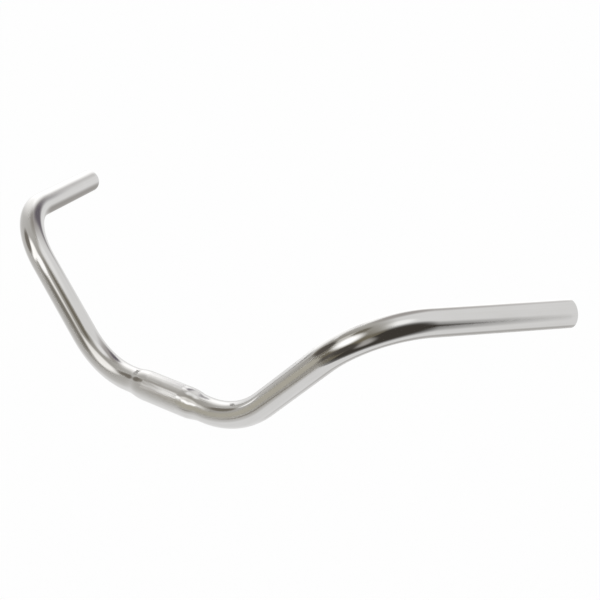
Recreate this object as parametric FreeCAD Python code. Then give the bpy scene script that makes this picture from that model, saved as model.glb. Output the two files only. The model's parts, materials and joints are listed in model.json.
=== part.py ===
import FreeCAD, Part
import math
import os

# Upright bicycle handlebar: one length of light-alloy tube, swaged up in the middle for the stem
# clamp and bent twice on each side. Millimetres. The origin is the middle of the clamp seat, +X runs
# along the seat's axis, +Y points forward on the bicycle and +Z points up.

# Tube: plain outside diameter, and a wall that stays the same through the swaged middle
TUBE_DIAMETER = 22.2
WALL = 2.2

# Swaged middle: the full-diameter seat for the stem, a smooth taper at each end of it, and the plain
# straight tube left between each taper and the first bend
CLAMP_DIAMETER = 26.0
CLAMP_LENGTH = 48.0
SWAGE_LENGTH = 20.0
PLAIN_LENGTH = 3.0

# First bend: the tube rises in the upright plane of the clamp axis. Both radii are to the centre line
RISE_RADIUS = 90.0
RISE_ANGLE = 43.0
ARM_LENGTH = 78.0

# Second bend: it sweeps the tube back into a level grip that splays outwards from straight back
SWEEP_RADIUS = 75.0
GRIP_SPLAY = 28.0
GRIP_LENGTH = 118.0

# Sawn ends: the outer edge of each mouth is rounded over and the inner edge is countersunk, each of
# them over no more than its share of the wall
RIM_RADIUS = 0.8
MOUTH_CHAMFER = 0.5
SHARE_OF_WALL = 0.45

CLAMP_END = CLAMP_LENGTH / 2
TAPER_END = CLAMP_END + SWAGE_LENGTH
BEND_START = TAPER_END + PLAIN_LENGTH

ORIGIN = FreeCAD.Vector(0, 0, 0)
CLAMP_AXIS = FreeCAD.Vector(1, 0, 0)
ON_CENTRE_LINE = 1e-6


def heading(turned_back, rise):
    """Direction that leaves the clamp axis by these angles in degrees, towards the rider and upwards."""
    back = math.radians(turned_back)
    up = math.radians(rise)
    return FreeCAD.Vector(
        math.cos(back) * math.cos(up), -math.sin(back) * math.cos(up), math.sin(up)
    )


def middle_line(depth):
    """Edges along one side of the swaged middle, at a depth below its outer surface."""
    clamp_radius = CLAMP_DIAMETER / 2 - depth
    tube_radius = TUBE_DIAMETER / 2 - depth
    taper_middle = (CLAMP_END + TAPER_END) / 2
    centre = FreeCAD.Vector(0, 0, clamp_radius)
    seat_edge = FreeCAD.Vector(CLAMP_END, 0, clamp_radius)
    taper_foot = FreeCAD.Vector(TAPER_END, 0, tube_radius)
    bend_start = FreeCAD.Vector(BEND_START, 0, tube_radius)
    taper = Part.BezierCurve()
    taper.setPoles(
        [
            seat_edge,
            FreeCAD.Vector(taper_middle, 0, clamp_radius),
            FreeCAD.Vector(taper_middle, 0, tube_radius),
            taper_foot,
        ]
    )
    return [
        Part.LineSegment(centre, seat_edge).toShape(),
        taper.toShape(),
        Part.LineSegment(taper_foot, bend_start).toShape(),
    ]


def half_of_middle():
    """Right half of the swaged middle: its section turned about the clamp axis."""
    outer = middle_line(0)
    inner = middle_line(WALL)
    closing = [
        Part.LineSegment(o.Vertexes[i].Point, n.Vertexes[i].Point).toShape()
        for o, n, i in ((outer[0], inner[0], 0), (outer[-1], inner[-1], -1))
    ]
    section = Part.Wire(Part.sortEdges(outer + inner + closing)[0])
    return Part.Face(section).revolve(ORIGIN, CLAMP_AXIS, 360)


def tube_section(centre, direction):
    """Ring-shaped face across the tube."""
    outside = Part.Wire(Part.makeCircle(TUBE_DIAMETER / 2, centre, direction))
    inside = Part.Wire(Part.makeCircle(TUBE_DIAMETER / 2 - WALL, centre, direction))
    return Part.makeFace([outside, inside], "Part::FaceMakerBullseye")


def straight(start, direction, length):
    """Straight run of tube, and the point where it ends."""
    run = direction * length
    return tube_section(start, direction).extrude(run), start + run


def bend(start, direction, new_direction, radius):
    """Bend of tube from one direction into another, and the point where it ends."""
    axis = direction.cross(new_direction).normalize()
    centre = start + axis.cross(direction) * radius
    angle = math.degrees(direction.getAngle(new_direction))
    end = FreeCAD.Rotation(axis, angle).multVec(start - centre) + centre
    return tube_section(start, direction).revolve(centre, axis, angle), end


def mouth_edge(tube, end, radius):
    """The round edge of this radius at the end of the tube."""
    rims = [e for e in tube.Edges if e.CenterOfMass.distanceToPoint(end) < ON_CENTRE_LINE]
    return min(rims, key=lambda rim: abs(rim.Curve.Radius - radius))


def finished_mouth(tube, end):
    """The tube with the mouth at this end rounded over outside and countersunk inside."""
    outer_edge = mouth_edge(tube, end, TUBE_DIAMETER / 2)
    tube = tube.makeFillet(min(RIM_RADIUS, SHARE_OF_WALL * WALL), [outer_edge])
    inner_edge = mouth_edge(tube, end, TUBE_DIAMETER / 2 - WALL)
    return tube.makeChamfer(min(MOUTH_CHAMFER, SHARE_OF_WALL * WALL), [inner_edge])


def half_of_bar():
    """Right half of the bar, from the middle of the clamp seat out to the grip's mouth."""
    arm = heading(0, RISE_ANGLE)
    grip = heading(90 - GRIP_SPLAY, 0)
    rise_bend, arm_start = bend(CLAMP_AXIS * BEND_START, CLAMP_AXIS, arm, RISE_RADIUS)
    arm_run, sweep_start = straight(arm_start, arm, ARM_LENGTH)
    sweep_bend, grip_start = bend(sweep_start, arm, grip, SWEEP_RADIUS)
    grip_run, grip_end = straight(grip_start, grip, GRIP_LENGTH)
    tube = half_of_middle().multiFuse([rise_bend, arm_run, sweep_bend, grip_run])
    return finished_mouth(tube.removeSplitter().Solids[0], grip_end)


def handlebar():
    """The whole bar: the right half and its mirror image, fused across the middle of the seat."""
    right = half_of_bar()
    left = right.mirror(ORIGIN, CLAMP_AXIS)
    return right.fuse(left).removeSplitter().Solids[0]


def main():
    os.makedirs("parts", exist_ok=True)
    bar = handlebar()
    box = bar.BoundBox
    print("handlebar: valid", bar.isValid(), "volume %.1f mm3" % bar.Volume)
    print("size %.1f x %.1f x %.1f mm" % (box.XLength, box.YLength, box.ZLength))
    bar.exportStep("parts/handlebar.step")


main()
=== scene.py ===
import json
import math
from collections import namedtuple

import bpy
from mathutils import Matrix, Vector

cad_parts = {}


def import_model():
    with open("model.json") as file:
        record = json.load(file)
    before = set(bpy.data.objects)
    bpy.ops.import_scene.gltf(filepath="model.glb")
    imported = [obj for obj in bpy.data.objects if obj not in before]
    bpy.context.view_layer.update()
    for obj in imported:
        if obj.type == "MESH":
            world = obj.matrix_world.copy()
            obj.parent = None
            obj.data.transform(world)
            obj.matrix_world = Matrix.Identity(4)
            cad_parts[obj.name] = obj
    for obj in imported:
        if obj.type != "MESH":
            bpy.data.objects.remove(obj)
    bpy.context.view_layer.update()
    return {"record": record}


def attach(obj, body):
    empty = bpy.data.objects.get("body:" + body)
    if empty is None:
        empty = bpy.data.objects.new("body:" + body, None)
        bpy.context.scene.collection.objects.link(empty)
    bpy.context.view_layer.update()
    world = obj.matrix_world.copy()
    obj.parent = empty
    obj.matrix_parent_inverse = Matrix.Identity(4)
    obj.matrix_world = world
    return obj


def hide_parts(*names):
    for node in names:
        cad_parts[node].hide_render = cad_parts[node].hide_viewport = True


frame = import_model()

MM = 0.001

# The bar's sizes in millimetres and degrees. Radii and the clamp's length come from the frame's mounts,
# and the rest are the sizes that its solid was drawn with
mounts = {mount["name"]: mount["dims"] for mount in frame["record"]["mounts"]}
TUBE_RADIUS = mounts["right_grip"]["r_mm"]
BORE_RADIUS = mounts["right_bar_end"]["r_mm"]
CLAMP_RADIUS = mounts["stem_clamp"]["r_mm"]
CLAMP_LENGTH = mounts["stem_clamp"]["length_mm"]
WALL = TUBE_RADIUS - BORE_RADIUS
SWAGE_LENGTH = 20.0
PLAIN_LENGTH = 3.0
RISE_RADIUS = 90.0
RISE_ANGLE = 43.0
ARM_LENGTH = 78.0
SWEEP_RADIUS = 75.0
GRIP_SPLAY = 28.0
GRIP_LENGTH = 118.0
RIM_RADIUS = 0.8
MOUTH_CHAMFER = 0.5

# The swage's side view is a cubic curve: how far its two handles reach, as a share of its length
SWAGE_HANDLE = 0.5

# Diamond knurl rolled into the clamp seat: diamonds round the seat, the angle of its grooves to the
# bar, the length of seat it covers and its depth from crest to groove
KNURL_DIAMONDS = 54
KNURL_ANGLE = 30.0
KNURL_LENGTH = 42.0
KNURL_DEPTH = 0.07

# How finely the tube is divided: two columns to each diamond, steps along it in degrees of bend and
# millimetres of straight, steps over a swage and a rim, and how much coarser the bore is
COLUMNS = 2 * KNURL_DIAMONDS
BEND_STEP = 1.25
STRAIGHT_STEP = 6.0
SWAGE_STEPS = 18
RIM_STEPS = 6
BORE_COARSENESS = 2

# Edges that turn by more than this many degrees stay crisp
SHARP_EDGE = 30.0

# Finish of the metal in millimetres: size of a buffing line, a patch of unevenness and a die line,
# each twice across the tube and once along it, and how far each stands up
BUFF_LINE = (1.6, 1.6, 150.0)
UNEVEN_PATCH = (9.0, 9.0, 22.0)
DIE_LINE = (0.5, 0.5, 90.0)
BUFF_LINE_HEIGHT = 0.0015
UNEVEN_HEIGHT = 0.012
DIE_LINE_HEIGHT = 0.02

# Roughness at the smoothest and the roughest parts, the sums of the polish's two noises there, and how
# metallic the bore still looks through its oxide film
POLISH_ROUGHNESS = (0.05, 0.12)
BORE_ROUGHNESS = (0.35, 0.6)
WORKED_SUM = (0.6, 1.4)
BORE_METALLIC = 0.4

# Photograph's view: place of the eye in metres, the direction it looks in, turn of the picture about
# that line in degrees, and the sensor's width and the lens in millimetres
EYE = Vector((-0.7327, 0.7019, 0.4023))
LOOK = Vector((0.6167, -0.7295, -0.2959))
PICTURE_TURN = 3.43
SENSOR = 36.0
LENS = 77.07

# Paper floor in metres: how far it lies below the clamp's middle, and its side, which runs out of sight
FLOOR_DROP = 0.9
FLOOR_SIZE = 80.0

# Corners of a lamp's or flag's oval, and points on or near the bar that most of them are turned to
CARD_CORNERS = 48
MIDDLE = (0, 0, 0.05)
CLAMP = (0, 0, 0)
NEAR_BEND = (-0.2, 0, 0.1)
NEAR_GRIP = (-0.25, -0.07, 0.11)
FAR_BEND = (0.2, 0, 0.1)
FAR_ARM = (0.13, 0, 0.05)


def linear(hex_colour):
    """sRGB hex colour as linear RGBA."""
    parts = [int(hex_colour[i:i + 2], 16) / 255 for i in (1, 3, 5)]
    return [p / 12.92 if p <= 0.04045 else ((p + 0.055) / 1.055) ** 2.4 for p in parts] + [1.0]


def add(tree, kind, inputs=None, **settings):
    """Adds a node with its settings, and sets or links its inputs by name or number."""
    node = tree.nodes.new("ShaderNode" + kind)
    for name, value in settings.items():
        setattr(node, name, value)
    for socket, value in (inputs or {}).items():
        if isinstance(value, bpy.types.NodeSocket):
            tree.links.new(value, node.inputs[socket])
        else:
            node.inputs[socket].default_value = value
    return node


def new_material(name):
    """Empty node material and its tree."""
    material = bpy.data.materials.new(name)
    material.use_nodes = True
    material.node_tree.nodes.clear()
    return material, material.node_tree


def per_mm(sizes):
    """Scale that makes one pattern cell as large as these sizes in millimetres."""
    return [1 / (size * MM) for size in sizes]


def polished_aluminium():
    """Drawn aluminium tube, buffed lengthways to a soft mirror: it shows the room in bright and dark
    bands along the tube, with faint polishing lines and a slight unevenness left by bending."""
    material, tree = new_material("polished_aluminium")
    tube = add(tree, "Attribute", attribute_name="straight_tube").outputs["Vector"]
    # The buff's lines are hair-fine: they are drawn coarser than they are, so that they show
    lines = add(tree, "VectorMath", {0: tube, 1: per_mm(BUFF_LINE)}, operation="MULTIPLY")
    line = add(tree, "TexNoise", {"Vector": lines.outputs[0], "Scale": 1.0, "Detail": 3.0})
    patches = add(tree, "VectorMath", {0: tube, 1: per_mm(UNEVEN_PATCH)}, operation="MULTIPLY")
    patch = add(tree, "TexNoise", {"Vector": patches.outputs[0], "Scale": 1.0, "Detail": 2.0})
    both = add(tree, "Math", {0: line.outputs["Fac"], 1: patch.outputs["Fac"]}, operation="ADD")
    worked = add(tree, "MapRange", {
        "Value": both.outputs[0], "From Min": WORKED_SUM[0], "From Max": WORKED_SUM[1],
    })
    rough = add(tree, "MapRange", {
        "Value": worked.outputs[0], "To Min": POLISH_ROUGHNESS[0], "To Max": POLISH_ROUGHNESS[1],
    })
    colour = add(tree, "MixRGB", {
        0: worked.outputs[0], 1: linear("#D1D0CF"), 2: linear("#CBCAC8"),
    })
    uneven = add(tree, "Bump", {
        "Height": patch.outputs["Fac"], "Strength": 1.0, "Distance": UNEVEN_HEIGHT * MM,
    })
    combed = add(tree, "Bump", {
        "Height": line.outputs["Fac"], "Strength": 1.0, "Distance": BUFF_LINE_HEIGHT * MM,
        "Normal": uneven.outputs["Normal"],
    })
    metal = add(tree, "BsdfPrincipled", {
        "Base Color": colour.outputs[0], "Metallic": 1.0, "Roughness": rough.outputs[0],
        "Normal": combed.outputs["Normal"],
    })
    add(tree, "OutputMaterial", {"Surface": metal.outputs[0]})
    return material


def drawn_bore():
    """Inside of the tube as the drawing die left it: grey under a thin oxide film, with die lines along
    it, so that it fades into the dark instead of mirroring the far end."""
    material, tree = new_material("drawn_aluminium_bore")
    tube = add(tree, "Attribute", attribute_name="straight_tube").outputs["Vector"]
    lines = add(tree, "VectorMath", {0: tube, 1: per_mm(DIE_LINE)}, operation="MULTIPLY")
    line = add(tree, "TexNoise", {"Vector": lines.outputs[0], "Scale": 1.0, "Detail": 3.0})
    colour = add(tree, "MixRGB", {
        0: line.outputs["Fac"], 1: linear("#8E8D8A"), 2: linear("#BDBCB9"),
    })
    rough = add(tree, "MapRange", {
        "Value": line.outputs["Fac"], "To Min": BORE_ROUGHNESS[0], "To Max": BORE_ROUGHNESS[1],
    })
    combed = add(tree, "Bump", {
        "Height": line.outputs["Fac"], "Strength": 1.0, "Distance": DIE_LINE_HEIGHT * MM,
    })
    metal = add(tree, "BsdfPrincipled", {
        "Base Color": colour.outputs[0], "Metallic": BORE_METALLIC, "Roughness": rough.outputs[0],
        "Normal": combed.outputs["Normal"],
    })
    add(tree, "OutputMaterial", {"Surface": metal.outputs[0]})
    return material


def studio_paper():
    """White background paper: matt and almost without tone."""
    material, tree = new_material("white_background_paper")
    paper = add(tree, "BsdfDiffuse", {"Color": linear("#FEFEFE")})
    add(tree, "OutputMaterial", {"Surface": paper.outputs[0]})
    return material


def faded_oval(name, colour, strength, soft):
    """Even brightness over an oval of unit size, whose edge fades out over this share of it."""
    material, tree = new_material(name)
    place = add(tree, "TexCoord").outputs["Object"]
    reach = add(tree, "VectorMath", {0: place}, operation="LENGTH")
    edge = add(tree, "MapRange", {
        "Value": reach.outputs["Value"], "From Min": 1 - soft / 2, "From Max": 1 + soft / 2,
    }, interpolation_type="SMOOTHSTEP")
    even = add(tree, "Emission", {"Color": linear(colour), "Strength": strength})
    clear = add(tree, "BsdfTransparent")
    faded = add(tree, "MixShader", {0: edge.outputs[0], 1: even.outputs[0], 2: clear.outputs[0]})
    add(tree, "OutputMaterial", {"Surface": faded.outputs[0]})
    # It is only mirrored, so it is not sampled as a light
    material.cycles.emission_sampling = "NONE"
    return material


def lamp_diffuser(name, strength, soft):
    """White nylon over a lamp: an even, soft-edged glow."""
    return faded_oval(name, "#FFFFFF", strength, soft)


def glowing_flag_cloth(name, colour, soft):
    """Card that glows in its colour with painted light, standing in for matt cloth or board in a flag
    frame lit at the brightness that the even tent gives its colour: it only keeps the white tent out of
    the metal."""
    return faded_oval(name, colour, 1.0, soft)


def heading(turned_back, rise):
    """Direction that leaves the clamp's axis by these degrees, towards the rider and upwards."""
    back = math.radians(turned_back)
    up = math.radians(rise)
    return Vector((math.cos(back) * math.cos(up), -math.sin(back) * math.cos(up), math.sin(up)))


def steps_over(length, step):
    """Even steps over a length: how far each one ends from the start."""
    count = max(1, round(length / step))
    return [length * (i + 1) / count for i in range(count)]


# A place along the bar: axes that stand there, with X along the bar and Y and Z across the tube, how far
# along the bar it is from the middle, and the tube's radius there
Place = namedtuple("Place", "axes station radius")


def swage_profile(share):
    """How far along the swage its curve is, as a share of its length, and the radius there."""
    first_handle = 3 * (1 - share) ** 2 * share
    second_handle = 3 * (1 - share) * share ** 2
    end = share ** 3
    along = first_handle * SWAGE_HANDLE + second_handle * (1 - SWAGE_HANDLE) + end
    narrowed = second_handle + end
    return along, CLAMP_RADIUS + (TUBE_RADIUS - CLAMP_RADIUS) * narrowed


def places_along_half(coarse=1):
    """Places from the middle of the clamp seat to the right mouth's rim."""
    row_step = math.pi * CLAMP_RADIUS / KNURL_DIAMONDS / math.tan(math.radians(KNURL_ANGLE))
    rows = round(KNURL_LENGTH / 2 / row_step)
    clamp_end = CLAMP_LENGTH / 2
    profile = [(i * row_step, CLAMP_RADIUS) for i in range(0, rows + 1, coarse)]
    profile.append((clamp_end, CLAMP_RADIUS))
    for i in range(coarse, SWAGE_STEPS + 1, coarse):
        along, radius = swage_profile(i / SWAGE_STEPS)
        profile.append((clamp_end + along * SWAGE_LENGTH, radius))
    bend_start = clamp_end + SWAGE_LENGTH + PLAIN_LENGTH
    profile.append((bend_start, TUBE_RADIUS))
    places = [Place(Matrix.Translation((x, 0, 0)), x, radius) for x, radius in profile]

    arm = heading(0, RISE_ANGLE)
    grip = heading(90 - GRIP_SPLAY, 0)
    add_bend(places, arm, RISE_RADIUS, coarse)
    add_straight(places, ARM_LENGTH, coarse)
    add_bend(places, grip, SWEEP_RADIUS, coarse)
    add_straight(places, GRIP_LENGTH - RIM_RADIUS, coarse)
    return places


def add_straight(places, length, coarse):
    """Goes straight on from the last place."""
    last = places[-1]
    for run in steps_over(length, STRAIGHT_STEP * coarse):
        moved = last.axes @ Matrix.Translation((run, 0, 0))
        places.append(Place(moved, last.station + run, TUBE_RADIUS))


def add_bend(places, new_direction, radius, coarse):
    """Bends from the last place into a new direction."""
    last = places[-1]
    turned = last.axes.to_3x3().transposed() @ new_direction
    angle = math.acos(turned.x)
    inward = Vector((0, turned.y, turned.z)).normalized()
    axis = Vector((1, 0, 0)).cross(inward)
    to_centre = Matrix.Translation(inward * radius)
    for turn in steps_over(angle, math.radians(BEND_STEP * coarse)):
        turn_about = to_centre @ Matrix.Rotation(turn, 4, axis) @ to_centre.inverted()
        places.append(Place(last.axes @ turn_about, last.station + turn * radius, TUBE_RADIUS))


# A ring of the mesh: which half it is on, its place, how far past the place it stands, its radius, its
# number if it is a row of the knurl, and whether it lies in the bore
Ring = namedtuple("Ring", "side place ahead radius row bore")


def rings_of_half(side):
    """Rings of one half: outside from the middle to the rim, then the mouth and the bore back."""
    outside = places_along_half()
    inside = places_along_half(BORE_COARSENESS)
    rim = outside[-1]
    knurl_rows = sum(1 for place in outside if place.station <= KNURL_LENGTH / 2)
    rings = []
    for i, place in enumerate(outside):
        rings.append(Ring(side, place, 0, place.radius, i if i < knurl_rows else None, False))
    for i in range(1, RIM_STEPS + 1):
        turn = math.pi / 2 * i / RIM_STEPS
        radius = TUBE_RADIUS - RIM_RADIUS + RIM_RADIUS * math.cos(turn)
        rings.append(Ring(side, rim, RIM_RADIUS * math.sin(turn), radius, None, False))
    rings.append(Ring(side, rim, RIM_RADIUS, BORE_RADIUS + MOUTH_CHAMFER, None, False))
    rings.append(Ring(side, rim, RIM_RADIUS - MOUTH_CHAMFER, BORE_RADIUS, None, True))
    for place in reversed(inside[:-1]):
        rings.append(Ring(side, place, 0, place.radius - WALL, None, True))
    return rings


def knurl_height(ring, column):
    """Height of a knurled point over the seat: crests and grooves take turns along and round it."""
    crest = (ring.row + column) % 2
    return KNURL_DEPTH / 2 if crest else -KNURL_DEPTH / 2


def ring_points(ring):
    """Points of one ring in metres, and the same points on the tube as if it had never been bent."""
    points = []
    unbent = []
    for column in range(COLUMNS):
        turn = 2 * math.pi * column / COLUMNS
        radius = ring.radius
        if ring.row is not None:
            radius += knurl_height(ring, column)
        across = Vector((ring.ahead, radius * math.cos(turn), radius * math.sin(turn)))
        point = ring.place.axes @ across
        points.append(Vector((ring.side * point.x, point.y, point.z)) * MM)
        along = ring.side * (ring.place.station + ring.ahead)
        unbent.append(Vector((across.y, across.z, along)) * MM)
    return points, unbent


def ring_faces(first, second, start, end):
    """Faces between two rings whose points start at these numbers, knurled ones as flat triangles, and
    whether they are knurled."""
    faces = []
    knurled = first.row is not None and second.row is not None
    for column in range(COLUMNS):
        after = (column + 1) % COLUMNS
        corners = [start + column, start + after, end + after, end + column]
        if not knurled:
            faces.append(corners)
        elif (first.row + column) % 2:
            faces += [[corners[0], corners[1], corners[3]], [corners[1], corners[2], corners[3]]]
        else:
            faces += [[corners[0], corners[1], corners[2]], [corners[0], corners[2], corners[3]]]
    return faces, knurled


def handlebar_tube():
    """The whole bar as one closed skin: out along the outside, round each mouth and back inside."""
    right = rings_of_half(1)
    left = rings_of_half(-1)
    # The halves share the two rings at the bar's middle, one outside and one in the bore
    loop = right + list(reversed(left[1:-1]))
    points = []
    unbent = []
    for ring in loop:
        ring_at, tube_at = ring_points(ring)
        points += ring_at
        unbent += tube_at
    faces = []
    in_bore = []
    flat = []
    for i, ring in enumerate(loop):
        following = loop[(i + 1) % len(loop)]
        start = i * COLUMNS
        end = (i + 1) % len(loop) * COLUMNS
        new_faces, knurled = ring_faces(ring, following, start, end)
        faces += new_faces
        in_bore += [ring.bore and following.bore] * len(new_faces)
        flat += [knurled] * len(new_faces)
    # Turned round, so that the faces look out of the metal
    outward = [list(reversed(face)) for face in faces]
    mesh = bpy.data.meshes.new("handlebar_tube")
    mesh.from_pydata(points, [], outward)
    mesh.materials.append(polished_aluminium())
    mesh.materials.append(drawn_bore())
    mesh.polygons.foreach_set("material_index", [int(inner) for inner in in_bore])
    mesh.set_sharp_from_angle(angle=math.radians(SHARP_EDGE))
    mesh.polygons.foreach_set("use_smooth", [not plane for plane in flat])
    tube = mesh.attributes.new("straight_tube", "FLOAT_VECTOR", "POINT")
    tube.data.foreach_set("vector", [value for point in unbent for value in point])
    mesh.update()
    piece = bpy.data.objects.new("handlebar_tube", mesh)
    bpy.context.scene.collection.objects.link(piece)
    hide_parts("handlebar")
    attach(piece, "root")


def floor():
    """Sheet of white paper well below the bar, which hangs clear of it."""
    half = FLOOR_SIZE / 2
    corners = [(-half, -half, 0), (half, -half, 0), (half, half, 0), (-half, half, 0)]
    mesh = bpy.data.meshes.new("floor")
    mesh.from_pydata(corners, [], [(0, 1, 2, 3)])
    mesh.materials.append(studio_paper())
    sheet = bpy.data.objects.new("floor", mesh)
    sheet.location.z = -FLOOR_DROP
    bpy.context.scene.collection.objects.link(sheet)


def card(name, material, soft, at, facing, half, spun=0):
    """Oval lamp or flag with its middle at a point in metres, turned to face another point and spun
    about the line between them by degrees. Half is half its width and height in metres, to the middle
    of its soft edge. Only the metal's reflections see it."""
    reach = 1 + soft / 2
    turns = [2 * math.pi * i / CARD_CORNERS for i in range(CARD_CORNERS)]
    outline = [(reach * math.cos(turn), reach * math.sin(turn), 0) for turn in turns]
    mesh = bpy.data.meshes.new(name)
    mesh.from_pydata(outline, [], [range(CARD_CORNERS)])
    mesh.materials.append(material)
    oval = bpy.data.objects.new(name, mesh)
    away = (Vector(at) - Vector(facing)).normalized()
    about = Matrix.Rotation(-math.atan2(away.x, away.y), 4, "Z")
    tipped = Matrix.Rotation(math.pi / 2 + math.asin(away.z), 4, "X")
    rolled = Matrix.Rotation(math.radians(spun), 4, "Z")
    size = Matrix.Diagonal((*half, 1, 1))
    oval.matrix_world = Matrix.Translation(at) @ about @ tipped @ rolled @ size
    oval.visible_camera = False
    oval.visible_diffuse = False
    oval.visible_transmission = False
    oval.visible_shadow = False
    bpy.context.scene.collection.objects.link(oval)


def lamp(name, strength, soft, **place):
    """Soft lamp, shown in the metal as a white shape."""
    card(name, lamp_diffuser(name + "_diffuser", strength, soft), soft, **place)


def flag(name, colour, soft, **place):
    """Flag or board, shown in the metal as a band of its colour."""
    # The flag's cloth is a painted glow, at the brightness the tent would give its colour
    card(name, glowing_flag_cloth(name + "_cloth", colour, soft), soft, **place)


def lamps_and_flags():
    """The soft lamps, and the flags and boards that give polished metal its bands."""
    # Table in front of the bar and below it, and its edge
    flag("dark_table", "#857E6D", soft=1.2,
         at=(-0.6, 0.75, -0.3), facing=(-1.15, -0.05, -0.55), half=(1.3, 0.5), spun=37)
    flag("table_edge", "#A39E96", soft=1.2,
         at=(0.02, 0.21, -0.14), facing=(0.02, 0, 0.05), half=(0.11, 0.012))

    # Dark room on the near side
    flag("dark_room", "#4A4641", soft=0.9,
         at=(-0.65, 0.4, -0.1), facing=NEAR_BEND, half=(1.0, 0.6), spun=120)
    flag("room_corner", "#5A5652", soft=0.6,
         at=(-1.2, 0.15, 0.03), facing=NEAR_GRIP, half=(0.23, 0.17))

    # Grey boards further off, which take plain white from the bar's top, back, underside and front
    flag("grey_ceiling", "#BFBBB9", soft=1.2,
         at=(0.6, -0.8, 1.4), facing=MIDDLE, half=(1.0, 0.5), spun=-60)
    flag("grey_backboard", "#B5B2AF", soft=1.2,
         at=(0.5, -1.15, -0.5), facing=MIDDLE, half=(0.9, 0.35))
    flag("grey_underboard", "#CBC9C7", soft=1.2,
         at=(-0.25, -0.6, -0.75), facing=NEAR_GRIP, half=(0.3, 0.3))
    flag("grey_sideboard", "#9C9A98", soft=1.2,
         at=(0.4, 0.95, 0.25), facing=MIDDLE, half=(0.35, 0.12), spun=-45)

    # Flags for the grey bands of the far arm, bend and grip
    flag("far_arm_flag", "#908E8D", soft=0.6,
         at=(-0.05, 0.27, 0.42), facing=FAR_ARM, half=(0.1, 0.1))
    flag("far_bend_flag", "#8E8A88", soft=0.7,
         at=(0.4, 0.2, 0.2), facing=FAR_BEND, half=(0.1, 0.1))
    flag("far_grip_flag", "#7C767E", soft=1.2,
         at=(0.25, -0.25, 0.3), facing=FAR_BEND, half=(0.05, 0.12), spun=15)

    # Board and flags for the bands round the near bend's highlight, and a board for the near arm's beige
    flag("near_bend_board", "#C2BFBB", soft=1.2,
         at=(-0.45, 0.4, -0.1), facing=NEAR_BEND, half=(0.17, 0.07), spun=75)
    flag("near_bend_flag", "#6B6660", soft=0.8,
         at=(-0.1, 0.3, 0), facing=NEAR_BEND, half=(0.07, 0.1))
    flag("near_arm_flag", "#65605A", soft=0.6,
         at=(-0.05, 0.1, 0.13), facing=NEAR_BEND, half=(0.05, 0.05))
    flag("near_bend_shade", "#57534E", soft=0.8,
         at=(-0.22, 0.19, 0.02), facing=NEAR_BEND, half=(0.06, 0.06))
    flag("beige_board", "#CCC8BB", soft=0.8,
         at=(0, 0.15, 0), facing=(-0.1, 0.05, 0.05), half=(0.08, 0.05))

    # Thin flag for a line along the clamp seat
    flag("clamp_line", "#969189", soft=0.9,
         at=(0, 0.4, 0), facing=CLAMP, half=(0.15, 0.02))

    # Large lamps for the broad whites
    lamp("front_softbox", 3.0, soft=0.6,
         at=(0.5, 1.1, 0.65), facing=MIDDLE, half=(0.5, 0.6))
    lamp("back_softbox", 1.6, soft=1.2,
         at=(0.85, -0.45, 0.55), facing=MIDDLE, half=(0.45, 0.35), spun=-45)
    lamp("top_softbox", 1.35, soft=1.0,
         at=(-0.5, 0.3, 0.75), facing=NEAR_BEND, half=(0.2, 0.2))
    lamp("low_strip", 1.4, soft=0.3,
         at=(-0.2, -0.35, 0.05), facing=(-0.4, -0.15, -0.35), half=(0.4, 0.15), spun=-20)

    # Small lamps close to the bar, each for one highlight
    lamp("clamp_strip", 1.6, soft=0.4,
         at=(0.06, 0.155, 0.055), facing=(0.15, 0, -0.07), half=(0.07, 0.035))
    lamp("knurl_strip", 1.6, soft=0.6,
         at=(0.025, 0.042, 0.028), facing=(0.025, 0, 0), half=(0.022, 0.009))
    lamp("near_bend_spot", 1.7, soft=1.2,
         at=(-0.15, 0.2, 0.16), facing=NEAR_BEND, half=(0.08, 0.07), spun=65)
    lamp("far_bend_strip", 1.6, soft=0.6,
         at=(0.16, 0.06, 0.12), facing=(0.17, -0.01, 0.145), half=(0.015, 0.035))
    lamp("far_arm_fill", 1.15, soft=1.2,
         at=(0.1, 0, 0.25), facing=FAR_ARM, half=(0.06, 0.05))


def world():
    """White tent all round."""
    sky = bpy.data.worlds.new("white_tent")
    sky.use_nodes = True
    sky.node_tree.nodes.clear()
    tent = add(sky.node_tree, "Background", {"Color": linear("#FFFFFF"), "Strength": 1.0})
    add(sky.node_tree, "OutputWorld", {"Surface": tent.outputs[0]})
    bpy.context.scene.world = sky


def camera():
    """Camera at the photograph's view."""
    lens = bpy.data.cameras.new("camera")
    lens.sensor_width = SENSOR
    lens.lens = LENS
    lens.clip_end = 2 * FLOOR_SIZE
    eye = bpy.data.objects.new("camera", lens)
    level = LOOK.to_track_quat("-Z", "Y").to_matrix().to_4x4()
    turned = Matrix.Rotation(math.radians(PICTURE_TURN), 4, "Z")
    eye.matrix_world = Matrix.Translation(EYE) @ level @ turned
    bpy.context.scene.collection.objects.link(eye)
    bpy.context.scene.camera = eye


handlebar_tube()
floor()
lamps_and_flags()
world()
camera()
bpy.context.scene.view_settings.view_transform = "Standard"
